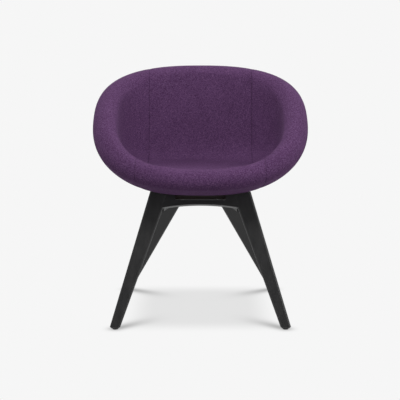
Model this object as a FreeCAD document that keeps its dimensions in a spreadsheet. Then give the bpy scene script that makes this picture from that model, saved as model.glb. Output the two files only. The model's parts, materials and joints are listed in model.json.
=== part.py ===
"""Scoop chair: an upholstered tub shell on four splayed wooden legs.

Millimetres. X to the right in a front view, Y to the back, Z up.
The floor is Z = 0 and the overall box is centred on X = 0, Y = 0.
"""
import FreeCAD
import Part
import math
import os
import Sketcher
from FreeCAD import Rotation, Vector

SIZES = {
    # shell outline
    "overall_height": 730.0,
    "shell_width": 644.0,
    "shell_depth": 530.0,
    "front_height": 459.0,
    "seat_level": 438.0,
    "shell_level": 368.0,
    "front_roll": 31.0,
    "arm_roll": 37.0,
    "back_roll": 34.0,
    "front_lean": 19.0,
    "arm_rise": 15.0,
    "arm_lean": 88.0,
    "back_lean": 84.0,
    "seat_flat_width": 200.0,
    "seat_flat_front": 80.0,
    "seat_flat_back": 110.0,
    "base_flat_width": 234.0,
    "base_flat_front": 127.0,
    "base_flat_back": 107.0,
    "inside_fullness": 2.0,
    "front_fullness": 0.82,
    "arm_fullness": 0.48,
    "back_fullness": 0.81,
    "front_oval": 2.53,
    "back_oval": 2.43,
    # cover
    "cover_thickness": 2.0,
    "seam_front": 188.0,
    "seam_back": 160.0,
    "seam_bend": 60.0,
    "sewn_gap": 0.4,
    "cloth_width": 180.0,
    "cloth_depth": 190.0,
    "cloth_corner": 20.0,
    "cloth_gap": 0.3,
    # steel frame inside the foam
    "hoop_radius": 6.0,
    "rib_radius": 4.0,
    "rib_start": 62.0,
    "rib_fullness": 0.7,
    "rib_land": 2.0,
    "foam_gap": 0.25,
    "plate_width": 150.0,
    "plate_depth": 160.0,
    "plate_thickness": 4.0,
    "plate_corner": 15.0,
    "shell_middle": -10.0,
    # legs
    "front_foot_out": 244.0,
    "front_foot_along": -250.0,
    "front_top_out": 112.0,
    "front_top_along": -104.0,
    "front_top_width": 57.0,
    "rear_foot_out": 237.0,
    "rear_foot_along": 228.0,
    "rear_top_out": 41.0,
    "rear_top_along": 82.0,
    "rear_top_width": 64.0,
    "leg_blank": 400.0,
    "leg_foot_width": 30.0,
    "leg_foot_depth": 28.0,
    "leg_top_depth": 42.0,
    "leg_corner": 8.0,
    "foot_bevel": 4.0,
    "scribe_gap": 0.6,
    # rails
    "rail_thickness": 24.0,
    "rail_outward": 7.0,
    "arch_foot": 331.0,
    "arch_rise": 10.0,
    "notch_level": 352.0,
    "notch_width": 146.0,
    "notch_slope": 5.0,
    "front_rail_length": 224.0,
    "rear_rail_length": 130.0,
    "rear_rail_height": 41.0,
    "side_rail_thickness": 22.0,
    "side_rail_height": 35.0,
    "side_rail_front_out": 118.0,
    "side_rail_rear_out": 76.0,
    # plywood panel between base and shell
    "panel_width": 234.0,
    "panel_depth": 224.0,
    "panel_middle": 0.0,
    "panel_thickness": 14.0,
    "panel_corner": 12.0,
    "panel_gap": 0.3,
    # fasteners
    "bolt_out": 50.0,
    "bolt_spread": 110.0,
    "bolt_diameter": 8.0,
    "bolt_bore": 8.6,
    "bolt_head_diameter": 14.0,
    "bolt_head_height": 5.0,
    "bolt_tip": 3.0,
    "hex_key": 5.0,
    "hex_depth": 3.0,
    "washer_diameter": 20.0,
    "washer_thickness": 2.0,
    "nut_width": 13.0,
    "nut_height": 7.0,
    "thread_gap": 0.1,
    "screw_diameter": 4.0,
    "screw_length": 34.0,
    "screw_head": 8.0,
    "screw_drive": 2.5,
    "dowel_diameter": 8.0,
    "dowel_length": 32.0,
    "dowel_edge": 11.0,
    "dowel_pitch": 14.0,
    "glide_diameter": 16.0,
    "glide_height": 4.0,
    "nail_diameter": 2.4,
    "nail_head": 5.0,
    "nail_head_height": 1.2,
    "nail_length": 22.0,
    "nail_recess": 1.0,
}

RIB_ANGLES = {
    "right_arm_rib": 0.0,
    "back_right_rib": 60.0,
    "back_left_rib": 120.0,
    "left_arm_rib": 180.0,
    "front_left_rib": 255.0,
    "front_right_rib": 285.0,
}

document = FreeCAD.newDocument("scoop_chair")
sheet = document.addObject("Spreadsheet::Sheet", "Sizes")
for row, (alias, number) in enumerate(SIZES.items(), start=1):
    sheet.set("A%d" % row, alias)
    sheet.set("B%d" % row, str(number))
    sheet.setAlias("B%d" % row, alias)
document.recompute()


def size(alias):
    """Value of one cell of the sheet."""
    return float(getattr(sheet, alias))


def bind(item, **expressions):
    """Tie properties of a document object to the sheet; base_x stands for Placement.Base.x."""
    for key, expression in expressions.items():
        path = key.replace("base_", "Placement.Base.").replace("offset_", "AttachmentOffset.Base.")
        item.setExpression(path, expression)
    return item


def feature(label, shape):
    """Document object for a shape that is worked out from the sheet."""
    item = document.addObject("Part::Feature", label)
    item.Shape = shape
    item.Placement = FreeCAD.Placement()
    return item


def cut(label, base, tool):
    """Document object for a base with a tool taken away."""
    item = document.addObject("Part::Cut", label)
    item.Base = base
    item.Tool = tool
    return item


def mirrored(label, source):
    """Left-hand copy of a right-hand piece."""
    item = document.addObject("Part::Mirroring", label)
    item.Source = source
    item.Base = Vector(0, 0, 0)
    item.Normal = Vector(1, 0, 0)
    return item


def plane(body, role):
    """Origin plane of a body."""
    for item in body.Origin.OriginFeatures:
        if item.Role == role:
            return item
    raise ValueError(role)


def new_sketch(body, label, role):
    """Sketch on one of the body's origin planes."""
    sketch = body.newObject("Sketcher::SketchObject", label)
    sketch.AttachmentSupport = [(plane(body, role), "")]
    sketch.MapMode = "FlatFace"
    return sketch


def tie(sketch, constraint, expression):
    """Add a dimension to a sketch and bind it to the sheet."""
    index = sketch.addConstraint(constraint)
    sketch.setExpression("Constraints[%d]" % index, expression)


def rounded_rectangle(sketch, width, depth, corner):
    """Outline centred on the sketch's origin; the sizes are sheet expressions."""
    half_x = float(sketch.evalExpression(width)) / 2
    half_y = float(sketch.evalExpression(depth)) / 2
    radius = float(sketch.evalExpression(corner))
    in_x = half_x - radius
    in_y = half_y - radius
    lines = [((-in_x, -half_y), (in_x, -half_y)), ((half_x, -in_y), (half_x, in_y)),
             ((in_x, half_y), (-in_x, half_y)), ((-half_x, in_y), (-half_x, -in_y))]
    centres = [(in_x, -in_y), (in_x, in_y), (-in_x, in_y), (-in_x, -in_y)]
    for side, (line, centre) in enumerate(zip(lines, centres)):
        sketch.addGeometry(Part.LineSegment(Vector(*line[0], 0), Vector(*line[1], 0)))
        circle = Part.Circle(Vector(*centre, 0), Vector(0, 0, 1), radius)
        start = math.radians(90 * side - 90)
        sketch.addGeometry(Part.ArcOfCircle(circle, start, start + math.pi / 2))
    for side in range(4):
        line = 2 * side
        arc = line + 1
        following = (line + 2) % 8
        sketch.addConstraint(Sketcher.Constraint("Tangent", line, 2, arc, 1))
        sketch.addConstraint(Sketcher.Constraint("Tangent", arc, 2, following, 1))
    for line, kind in ((0, "Horizontal"), (2, "Vertical"), (4, "Horizontal"), (6, "Vertical")):
        sketch.addConstraint(Sketcher.Constraint(kind, line))
    for arc in (3, 5, 7):
        sketch.addConstraint(Sketcher.Constraint("Equal", 1, arc))
    sketch.addConstraint(Sketcher.Constraint("Symmetric", 0, 1, 4, 1, -1, 1))
    tie(sketch, Sketcher.Constraint("Radius", 1, radius), corner)
    tie(sketch, Sketcher.Constraint("DistanceX", 6, 1, 2, 1, 2 * half_x), width)
    tie(sketch, Sketcher.Constraint("DistanceY", 0, 1, 4, 2, 2 * half_y), depth)


def slab(label, width, depth, corner, middle, level, thickness):
    """Flat plate with rounded corners; the arguments are sheet expressions."""
    body = document.addObject("PartDesign::Body", label)
    outline = new_sketch(body, label + "_outline", "XY_Plane")
    rounded_rectangle(outline, width, depth, corner)
    bind(outline, offset_y=middle, offset_z=level)
    pad = body.newObject("PartDesign::Pad", label + "_pad")
    pad.Profile = outline
    bind(pad, Length=thickness)
    document.recompute()
    return body


def conic(start, corner, end, weight, t):
    """Point of a conic arc that leaves start and reaches end along the lines to corner."""
    a = (1 - t) ** 2
    b = 2 * weight * t * (1 - t)
    c = t ** 2
    total = a + b + c
    return tuple((a * p + b * q + c * r) / total for p, q, r in zip(start, corner, end))


def wall(start, end, lean, weight, t):
    """Conic arc from a level start up to an end that leans by the given angle."""
    run = (end[1] - start[1]) / math.tan(lean)
    corner = (end[0] - run, start[1])
    return conic(start, corner, end, weight, t)


class Outline:
    """Half outline of the shell in one direction, as (outward, height) points."""

    def __init__(self, seat_flat, base_flat, rim, roll, lean, fullness):
        self.seat_flat = seat_flat
        self.base_flat = base_flat
        self.rim = rim
        self.roll = roll
        self.lean = math.radians(lean)
        self.fullness = fullness

    def on_roll(self, turn, inset):
        """Point of the padded roll; turn runs from 0 on the inside to 180 on the outside."""
        radius = self.roll - inset
        angle = self.lean + math.radians(90 - turn)
        return (self.rim[0] + radius * math.cos(angle), self.rim[1] + radius * math.sin(angle))

    def inside(self, t, inset):
        """Point of the inner wall, from the seat at 0 to the roll at 1."""
        start = (self.seat_flat, size("seat_level") - inset)
        return wall(start, self.on_roll(0, inset), self.lean, size("inside_fullness"), t)

    def outside(self, t, inset):
        """Point of the outer wall, from the underside at 0 to the roll at 1."""
        start = (self.base_flat, size("shell_level") + inset)
        return wall(start, self.on_roll(180, inset), self.lean, self.fullness, t)

    def rib(self, t):
        """Point of a rib's centre line, from the mounting plate at 0 to the hoop at 1."""
        start = (size("rib_start"), plate_top() + size("rib_land"))
        return wall(start, self.rim, self.lean, size("rib_fullness"), t)


def plate_top():
    """Height of the mounting plate's upper face."""
    return size("shell_level") + size("cover_thickness") + size("plate_thickness")


def panel_level():
    """Height of the face that the plywood panel rests on."""
    return size("shell_level") - size("panel_thickness")


half_depth = size("shell_depth") / 2
front_rim = (half_depth - size("front_roll"), size("front_height") - size("front_roll"))
back_rim = (half_depth - size("back_roll"), size("overall_height") - size("back_roll"))
arm_rim = (size("shell_width") / 2 - size("arm_roll"),
           (front_rim[1] + back_rim[1]) / 2 + size("arm_rise"))
FRONT = Outline(size("seat_flat_front"), size("base_flat_front"), front_rim,
                size("front_roll"), size("front_lean"), size("front_fullness"))
ARM = Outline(size("seat_flat_width") / 2, size("base_flat_width") / 2, arm_rim,
              size("arm_roll"), size("arm_lean"), size("arm_fullness"))
BACK = Outline(size("seat_flat_back"), size("base_flat_back"), back_rim,
               size("back_roll"), size("back_lean"), size("back_fullness"))


def ring_point(front, arm, back, angle):
    """Point of the oval ring through a front, an arm and a back point, at an angle in plan."""
    cosine = math.cos(angle)
    sine = math.sin(angle)
    power = size("back_oval") if sine > 0 else size("front_oval")
    reach = (abs(cosine) ** power + abs(sine) ** power) ** (-1 / power)
    across = reach * cosine
    along = reach * sine
    middle = (front[1] + back[1]) / 2
    lift = (arm[1] - middle) * (1 - along ** 2)
    return Vector(arm[0] * across,
                  (back[0] - front[0]) / 2 + along * (back[0] + front[0]) / 2,
                  middle + along * (back[1] - front[1]) / 2 + lift)


def through(points, stations, closed):
    """Smooth curve that meets the points at the given stations."""
    curve = Part.BSplineCurve()
    curve.interpolate(Points=list(points), Parameters=stations, PeriodicFlag=closed)
    return curve


def skin(rings, looped=False):
    """Solid whose surface runs smoothly through closed rings of points.

    A looped skin closes on its first ring; otherwise the first and last rings are flat ends.
    """
    loops = rings + rings[:1] if looped else rings
    stations = [0.0]
    for ring, following in zip(loops, loops[1:]):
        spans = [(p - q).Length for p, q in zip(ring, following)]
        stations.append(stations[-1] + sum(spans) / len(spans))
    lengthwise = [through(column, stations, looped) for column in zip(*rings)]
    turns = [float(step) for step in range(len(rings[0]) + 1)]
    crosswise = [through(row, turns, True)
                 for row in zip(*[curve.getPoles() for curve in lengthwise])]
    surface = Part.BSplineSurface()
    surface.buildFromPolesMultsKnots(
        [list(line) for line in zip(*[curve.getPoles() for curve in crosswise])],
        crosswise[0].getMultiplicities(), lengthwise[0].getMultiplicities(),
        crosswise[0].getKnots(), lengthwise[0].getKnots(), True, looped, 3, 3)
    side = surface.toShape()
    shell = Part.Shell([side])
    if not looped:
        ends = [Part.Face(Part.Wire([edge])) for edge in side.Edges
                if edge.isClosed() and not edge.isSeam(side)]
        joined = Part.makeCompound([side] + ends)
        joined.sewShape()
        shell = joined.Shells[0]
    solid = Part.Solid(shell)
    if solid.Volume < 0:
        solid.reverse()
    return solid


def ring(points_of, count=32):
    """Closed oval ring of points; points_of gives the point of one outline."""
    sides = [points_of(side) for side in (FRONT, ARM, BACK)]
    return [ring_point(*sides, 2 * math.pi * step / count - math.pi / 2) for step in range(count)]


def tub(inset):
    """Closed solid of the shell, drawn in by the inset all over."""
    rings = []
    for t in (0, 0.2, 0.36, 0.5, 0.64, 0.8, 1):
        rings.append(ring(lambda side: side.inside(t, inset)))
    for turn in (36, 72, 108, 144):
        rings.append(ring(lambda side: side.on_roll(turn, inset)))
    for t in (1, 0.85, 0.68, 0.51, 0.34, 0.17, 0):
        rings.append(ring(lambda side: side.outside(t, inset)))
    return skin(rings)


def seam(along, shift):
    """Distance of the sewn seam from the middle at a place along Y, moved by a shift.

    The seam runs straight along the seat and flares out in front of its bend.
    """
    bend = size("seam_bend")
    share = max(0, bend - along) / (bend + half_depth)
    return size("seam_back") + share * (size("seam_front") - size("seam_back")) + shift


def prism(corners, bottom, top):
    """Upright solid on a closed outline of (x, y) corners."""
    points = [Vector(x, y, bottom) for x, y in corners]
    face = Part.Face(Part.makePolygon(points + points[:1]))
    return face.extrude(Vector(0, 0, top - bottom))


def panels():
    """Cover split along its two seams into a centre, a left and a right panel."""
    skin = tub(0).cut(tub(size("cover_thickness")))
    reach = 2 * half_depth
    low = size("shell_level") - size("cover_thickness")
    high = size("overall_height") + size("cover_thickness")
    inner = -size("sewn_gap") / 2
    outer = size("sewn_gap") / 2
    stops = (-reach, size("seam_bend"), reach)
    right = [(seam(along, inner), along) for along in stops]
    left = [(-out, along) for out, along in reversed(right)]
    middle = prism(right + left, low, high)
    edge = [(seam(along, outer), along) for along in reversed(stops)]
    side = prism([(reach, -reach), (reach, reach)] + edge, low, high)
    return skin.common(middle).cut(cloth_opening.Shape), skin.common(side)


def rod(path, sideways, radius, looped=False):
    """Round bar along a path of points; sideways holds a direction across it at each point."""
    rings = []
    last = len(path) - 1
    for step, (point, across) in enumerate(zip(path, sideways)):
        before = path[step - 1] if looped or step > 0 else point
        after = path[(step + 1) % len(path)] if looped or step < last else point
        normal = (after - before).cross(across)
        normal.normalize()
        aside = normal.cross(after - before)
        aside.normalize()
        rings.append([point + (aside * math.cos(turn) + normal * math.sin(turn)) * radius
                      for turn in [math.pi * part / 5 for part in range(10)]])
    return skin(rings, looped)


def hoop(gap=0):
    """Closed round bar along the middle of the rim, thicker by a gap for its room in the foam."""
    path = ring(lambda side: side.rim)
    return rod(path, [Vector(0, 0, 1)] * len(path), size("hoop_radius") + gap, True)


def rib(angle, gap=0):
    """Round bar from the mounting plate up to the hoop, at an angle in plan.

    It is thicker by a gap where it stands for its room in the foam.
    """
    turn = math.radians(angle)
    path = []
    for t in (0, 0.2, 0.4, 0.6, 0.8, 0.98):
        sides = [side.rib(t) for side in (FRONT, ARM, BACK)]
        path.append(ring_point(*sides, turn))
    across = Vector(-math.sin(turn), math.cos(turn), 0)
    return rod(path, [across] * len(path), size("rib_radius") + gap)


def bolt_places():
    """Centres of the four shell bolts."""
    places = []
    for out in (-size("bolt_out"), size("bolt_out")):
        for half in (-0.5, 0.5):
            places.append((out, size("shell_middle") + half * size("bolt_spread")))
    return places


def upright(places, radius, bottom, height):
    """Compound of upright cylinders."""
    return Part.makeCompound(
        [Part.makeCylinder(radius, height, Vector(x, y, bottom)) for x, y in places])


def hexagon(across_flats, bottom, height, place):
    """Upright hexagonal prism."""
    radius = across_flats / math.sqrt(3)
    corners = []
    for step in range(6):
        turn = math.radians(60 * step + 30)
        corners.append((place[0] + radius * math.cos(turn), place[1] + radius * math.sin(turn)))
    return prism(corners, bottom, bottom + height)


CLOTH_LEVEL = "Sizes.shell_level"
PLATE_LEVEL = "Sizes.shell_level + Sizes.cover_thickness"
cloth_opening = slab("cloth_opening", "Sizes.cloth_width", "Sizes.cloth_depth", "Sizes.cloth_corner",
                     "Sizes.shell_middle", CLOTH_LEVEL, "Sizes.cover_thickness")
cloth_blank = slab("cloth_blank", "Sizes.cloth_width - 2 * Sizes.cloth_gap",
                   "Sizes.cloth_depth - 2 * Sizes.cloth_gap",
                   "Sizes.cloth_corner - Sizes.cloth_gap",
                   "Sizes.shell_middle", CLOTH_LEVEL, "Sizes.cover_thickness")
plate_blank = slab("plate_blank", "Sizes.plate_width", "Sizes.plate_depth", "Sizes.plate_corner",
                   "Sizes.shell_middle", PLATE_LEVEL, "Sizes.plate_thickness")

bolt_bores = feature("bolt_bores", upright(
    bolt_places(), size("bolt_bore") / 2, panel_level(),
    plate_top() - panel_level() + size("nut_height") + 2 * size("bolt_tip")))
hoop_solid = hoop()
rib_solids = {label: rib(angle) for label, angle in RIB_ANGLES.items()}
nut_blocks = [hexagon(size("nut_width"), plate_top(), size("nut_height"), place)
              for place in bolt_places()]
nut_bores = upright(bolt_places(), size("bolt_diameter") / 2 + size("thread_gap"),
                    plate_top(), size("nut_height"))

pieces = []
pieces.append(feature("rim_hoop", hoop_solid))
for label, solid in rib_solids.items():
    pieces.append(feature(label, solid.cut([plate_blank.Shape, hoop_solid])))
pieces.append(cut("mounting_plate", plate_blank, bolt_bores))
pieces.append(feature("shell_nuts", Part.makeCompound(nut_blocks).cut(nut_bores)))
pieces.append(cut("underside_cloth", cloth_blank, bolt_bores))

cover_middle, cover_side = panels()
pieces.append(feature("cover_centre", cover_middle))
right_cover = feature("cover_right", cover_side)
pieces.append(right_cover)
pieces.append(mirrored("cover_left", right_cover))
bar_room = [hoop(size("foam_gap"))]
for angle in RIB_ANGLES.values():
    bar_room.append(rib(angle, size("foam_gap")))
foam_core = tub(size("cover_thickness"))
pieces.append(feature("foam_body", foam_core.cut(
    bar_room + nut_blocks + [plate_blank.Shape, bolt_bores.Shape])))


def leg_section(body, label, sizes, place):
    """Outline across a leg; sizes and place are sheet expressions."""
    outline = new_sketch(body, label, "XY_Plane")
    rounded_rectangle(outline, *sizes)
    bind(outline, offset_x=place[0], offset_y=place[1], offset_z=place[2])
    return outline


def leg_blank(end):
    """Tapered leg of the right-hand side with a bevelled foot, before its joints are cut."""
    body = document.addObject("PartDesign::Body", end + "_leg_blank")
    foot = ("Sizes.%s_foot_out" % end, "Sizes.%s_foot_along" % end)
    top = ("Sizes.%s_top_out" % end, "Sizes.%s_top_along" % end)
    tip = leg_section(body, end + "_tip_outline",
                      ("Sizes.leg_foot_width - 2 * Sizes.foot_bevel",
                       "Sizes.leg_foot_depth - 2 * Sizes.foot_bevel",
                       "Sizes.leg_corner - Sizes.foot_bevel"),
                      foot + ("Sizes.glide_height",))
    ankle = leg_section(body, end + "_ankle_outline",
                        ("Sizes.leg_foot_width", "Sizes.leg_foot_depth", "Sizes.leg_corner"),
                        foot + ("Sizes.glide_height + Sizes.foot_bevel",))
    head = leg_section(body, end + "_head_outline",
                       ("Sizes.%s_top_width" % end, "Sizes.leg_top_depth", "Sizes.leg_corner"),
                       top + ("Sizes.leg_blank",))
    taper = body.newObject("PartDesign::AdditiveLoft", end + "_leg_taper")
    taper.Profile = tip
    taper.Sections = [ankle, head]
    taper.Ruled = True
    document.recompute()
    return body


def leg_share(level):
    """Share of a leg's length that lies below a height."""
    ankle = size("glide_height") + size("foot_bevel")
    return (level - ankle) / (size("leg_blank") - ankle)


def leg_axis(end, level):
    """Centre of a right-hand leg at a height, as (x, y)."""
    foot = (size(end + "_foot_out"), size(end + "_foot_along"))
    top = (size(end + "_top_out"), size(end + "_top_along"))
    return tuple(a + leg_share(level) * (b - a) for a, b in zip(foot, top))


def leg_half(level, foot, top):
    """Half of a leg's width or depth at a height."""
    return (size(foot) + leg_share(level) * (size(top) - size(foot))) / 2


def outward(end):
    """Sign of Y on the outside of one end's legs."""
    return math.copysign(1, size(end + "_foot_along"))


def leaning_rail(end, points, arch=None):
    """Rail between the two legs of one end, standing in the plane in which those legs lean.

    The points are (out, level) expressions along the right half of the outline, from the lower end
    on; arch is the expression of the radius of an arched lower edge.
    """
    body = document.addObject("PartDesign::Body", end + "_rail_blank")
    sketch = new_sketch(body, end + "_rail_outline", "XZ_Plane")
    slope = "(Sizes.%s_top_along - Sizes.%s_foot_along)" % (end, end)
    rise = "(Sizes.leg_blank - Sizes.glide_height - Sizes.foot_bevel)"
    stretch = "sqrt(1 + (%s / %s)^2)" % (slope, rise)
    places = [(out, "(%s) * %s" % (level, stretch)) for out, level in points]
    right = [Vector(*[float(sketch.evalExpression(part)) for part in place], 0) for place in places]
    left = [Vector(-point.x, point.y, 0) for point in reversed(right)]
    loop = right + left
    for first, second in zip(loop, loop[1:]):
        sketch.addGeometry(Part.LineSegment(first, second))
    last = len(loop) - 2
    for line in range(last):
        sketch.addConstraint(Sketcher.Constraint("Coincident", line, 2, line + 1, 1))
    for line in range(len(right)):
        sketch.addConstraint(Sketcher.Constraint("Symmetric", line, 1, last - line, 2, -2))
        tie(sketch, Sketcher.Constraint("DistanceX", -1, 1, line, 1, right[line].x), places[line][0])
        tie(sketch, Sketcher.Constraint("DistanceY", -1, 1, line, 1, right[line].y), places[line][1])
    closing = last + 1
    if arch is None:
        sketch.addGeometry(Part.LineSegment(loop[-1], loop[0]))
        sketch.addConstraint(Sketcher.Constraint("Coincident", last, 2, closing, 1))
        sketch.addConstraint(Sketcher.Constraint("Coincident", closing, 2, 0, 1))
    else:
        radius = float(sketch.evalExpression(arch))
        half = math.asin(right[0].x / radius)
        centre = Vector(0, right[0].y - radius * math.cos(half), 0)
        circle = Part.Circle(centre, Vector(0, 0, 1), radius)
        sketch.addGeometry(Part.ArcOfCircle(circle, math.pi / 2 - half, math.pi / 2 + half))
        sketch.addConstraint(Sketcher.Constraint("Coincident", closing, 1, 0, 1))
        sketch.addConstraint(Sketcher.Constraint("Coincident", closing, 2, last, 2))
        tie(sketch, Sketcher.Constraint("Radius", closing, radius), arch)
    pad = body.newObject("PartDesign::Pad", end + "_rail_pad")
    pad.Profile = sketch
    pad.Midplane = True
    bind(pad, Length="Sizes.rail_thickness")
    lean = math.degrees(math.atan(float(sketch.evalExpression("%s / %s" % (slope, rise)))))
    foot = leg_axis(end, 0)[1] + outward(end) * size("rail_outward")
    body.Placement = FreeCAD.Placement(Vector(0, foot, 0), Rotation(Vector(1, 0, 0), -lean))
    document.recompute()
    return body


def side_rail():
    """Right-hand rail from the front to the rear leg, before it is fitted to them."""
    front = Vector(size("side_rail_front_out"), leg_axis("front", panel_level())[1], 0)
    rear = Vector(size("side_rail_rear_out"), leg_axis("rear", panel_level())[1], 0)
    run = rear - front
    turn = Rotation(Vector(0, 1, 0), run)
    corner = Vector(-size("side_rail_thickness") / 2, 0, panel_level() - size("side_rail_height"))
    box = document.addObject("Part::Box", "side_rail_blank")
    bind(box, Length="Sizes.side_rail_thickness", Height="Sizes.side_rail_height")
    box.Width = run.Length
    box.Placement = FreeCAD.Placement(front + turn.multVec(corner), turn)
    document.recompute()
    return box, front, run


def dowels(end, low):
    """Dowels of a right-hand leg: two into the rail across and two into the side rail.

    The lowest edge of the rail across is given; each rail's dowels are set from its own edge.
    """
    along = Vector(side_run)
    along.normalize()
    side_low = panel_level() - size("side_rail_height")
    places = []
    for rise in (size("dowel_edge"), size("dowel_edge") + size("dowel_pitch")):
        level = low + rise
        out, middle = leg_axis(end, level)
        inner = out - leg_half(level, "leg_foot_width", end + "_top_width")
        places.append((Vector(inner, middle + outward(end) * size("rail_outward"), level),
                       Vector(1, 0, 0)))
        level = side_low + rise
        near = (leg_axis(end, level)[1]
                - outward(end) * leg_half(level, "leg_foot_depth", "leg_top_depth"))
        share = (near - side_front.y) / side_run.y
        places.append((side_front + side_run * share + Vector(0, 0, level), along))
    solids = []
    for centre, heading in places:
        start = centre - heading * (size("dowel_length") / 2)
        solids.append(Part.makeCylinder(size("dowel_diameter") / 2, size("dowel_length"),
                                        start, heading))
    return solids


def mirror_all(shapes):
    """The shapes and their left-hand copies."""
    return shapes + [shape.mirror(Vector(0, 0, 0), Vector(1, 0, 0)) for shape in shapes]


front_blank = leg_blank("front")
rear_blank = leg_blank("rear")
front_rail_blank = leaning_rail(
    "front",
    [("Sizes.front_rail_length / 2", "Sizes.arch_foot"),
     ("Sizes.front_rail_length / 2", "Sizes.leg_blank"),
     ("Sizes.notch_width / 2 + Sizes.notch_slope", "Sizes.leg_blank"),
     ("Sizes.notch_width / 2", "Sizes.notch_level")],
    "((Sizes.front_rail_length / 2)^2 + Sizes.arch_rise^2) / (2 * Sizes.arch_rise)")
REST_LEVEL = "Sizes.shell_level - Sizes.panel_thickness"
rear_rail_blank = leaning_rail(
    "rear",
    [("Sizes.rear_rail_length / 2", REST_LEVEL + " - Sizes.rear_rail_height"),
     ("Sizes.rear_rail_length / 2", REST_LEVEL)])
side_blank, side_front, side_run = side_rail()

panel_blank = slab("panel_blank", "Sizes.panel_width", "Sizes.panel_depth", "Sizes.panel_corner",
                   "Sizes.panel_middle", REST_LEVEL, "Sizes.panel_thickness")
gap = size("panel_gap")
rebate = Part.makeBox(size("panel_width") + 2 * gap, size("panel_depth") + 2 * gap,
                      size("leg_blank"),
                      Vector(-size("panel_width") / 2 - gap,
                             size("panel_middle") - size("panel_depth") / 2 - gap, panel_level()))
scribe = tub(-size("scribe_gap"))

front_dowels = dowels("front", size("arch_foot"))
rear_dowels = dowels("rear", panel_level() - size("rear_rail_height"))
dowel_solids = mirror_all(front_dowels + rear_dowels)
pieces.append(feature("rail_dowels", Part.makeCompound(dowel_solids)))


def screw(place, recess):
    """Countersunk screw down from the panel's upper face, with or without its drive recess."""
    radius = size("screw_diameter") / 2
    head = size("screw_head") / 2
    top = size("shell_level")
    x, y = place
    shank = Part.makeCylinder(radius, size("screw_length"), Vector(x, y, top - size("screw_length")))
    cone = Part.makeCone(radius, head, head - radius, Vector(x, y, top - head + radius))
    solid = shank.fuse(cone).removeSplitter()
    if recess:
        solid = solid.cut(hexagon(size("screw_drive"), top - size("screw_drive"),
                                  size("screw_drive"), place))
    return solid


screw_places = []
for share in (0.3, 0.65):
    spot = side_front + side_run * share
    screw_places += [(spot.x, spot.y), (-spot.x, spot.y)]
screw_cuts = [screw(place, False) for place in screw_places]
pieces.append(feature("panel_screws",
                      Part.makeCompound([screw(place, True) for place in screw_places])))
pieces.append(feature("seat_panel", panel_blank.Shape.cut([bolt_bores.Shape] + screw_cuts)))


def bolt(place):
    """Button-head bolt up into its nut, with a hexagonal socket under its head."""
    x, y = place
    seat = panel_level() - size("washer_thickness")
    bottom = seat - size("bolt_head_height")
    top = plate_top() + size("nut_height") + size("bolt_tip")
    head = Part.makeCylinder(size("bolt_head_diameter") / 2, size("bolt_head_height"),
                             Vector(x, y, bottom))
    rim = [edge for edge in head.Edges if edge.BoundBox.ZMax < bottom + 0.01]
    head = head.makeFillet(size("bolt_head_height") / 2, rim)
    shank = Part.makeCylinder(size("bolt_diameter") / 2, top - seat, Vector(x, y, seat))
    socket = hexagon(size("hex_key"), bottom, size("hex_depth"), place)
    return head.fuse(shank).cut(socket)


washer_level = panel_level() - size("washer_thickness")
washer_discs = upright(bolt_places(), size("washer_diameter") / 2, washer_level,
                       size("washer_thickness"))
washer_bores = upright(bolt_places(), size("bolt_bore") / 2, washer_level,
                       size("washer_thickness"))
pieces.append(feature("shell_bolts", Part.makeCompound([bolt(place) for place in bolt_places()])))
pieces.append(feature("shell_washers", washer_discs.cut(washer_bores)))

feet = []
for end in ("front", "rear"):
    foot = (size(end + "_foot_out"), size(end + "_foot_along"))
    feet += [foot, (-foot[0], foot[1])]
head_level = size("nail_recess") + size("nail_head_height")
nail_shanks = upright(feet, size("nail_diameter") / 2, head_level, size("nail_length"))
nail_heads = upright(feet, size("nail_head") / 2, size("nail_recess"), size("nail_head_height"))
nail_sinks = upright(feet, size("nail_head") / 2, 0, head_level)
nails = [head.fuse(shank) for head, shank in zip(nail_heads.Solids, nail_shanks.Solids)]
pieces.append(feature("glide_nails", Part.makeCompound(nails)))
glides = upright(feet, size("glide_diameter") / 2, 0, size("glide_height"))
pieces.append(feature("foot_glides", glides.cut([nail_sinks, nail_shanks])))

fittings = [scribe, rebate, nail_shanks] + dowel_solids
front_leg = feature("front_right_leg", front_blank.Shape.cut(fittings))
rear_leg = feature("rear_right_leg", rear_blank.Shape.cut(fittings))
pieces += [front_leg, rear_leg]
pieces.append(mirrored("front_left_leg", front_leg))
pieces.append(mirrored("rear_left_leg", rear_leg))

legs = mirror_all([front_blank.Shape, rear_blank.Shape])
front_fit = feature("front_rail", front_rail_blank.Shape.cut(fittings + legs))
rear_fit = feature("rear_rail", rear_rail_blank.Shape.cut(fittings + legs))
cross_rails = [front_rail_blank.Shape, rear_rail_blank.Shape]
right_fit = feature("right_rail",
                    side_blank.Shape.cut(legs + cross_rails + dowel_solids + screw_cuts))
pieces += [front_fit, rear_fit, right_fit]
pieces.append(mirrored("left_rail", right_fit))

document.recompute()
for item in document.Objects:
    if "Invalid" in item.State or "Error" in item.State:
        raise RuntimeError("%s has a faulty state" % item.Label)
os.makedirs("parts", exist_ok=True)
for piece in pieces:
    if piece.Shape.isNull() or not piece.Shape.isValid():
        raise RuntimeError("%s has no valid shape" % piece.Label)
    piece.Shape.exportStep("parts/%s.step" % piece.Label)
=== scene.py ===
"""Scoop chair: a felt-covered tub with rolled arms on four splayed, black-stained legs.

The tub's padding is blown up by a cloth simulation, drawn in along its sewn seams and split into
its three sewn panels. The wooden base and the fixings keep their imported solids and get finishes.
"""

from __future__ import annotations

import json
import logging
import math
from dataclasses import dataclass, field
from enum import Enum
from typing import Any, Iterable

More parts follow.
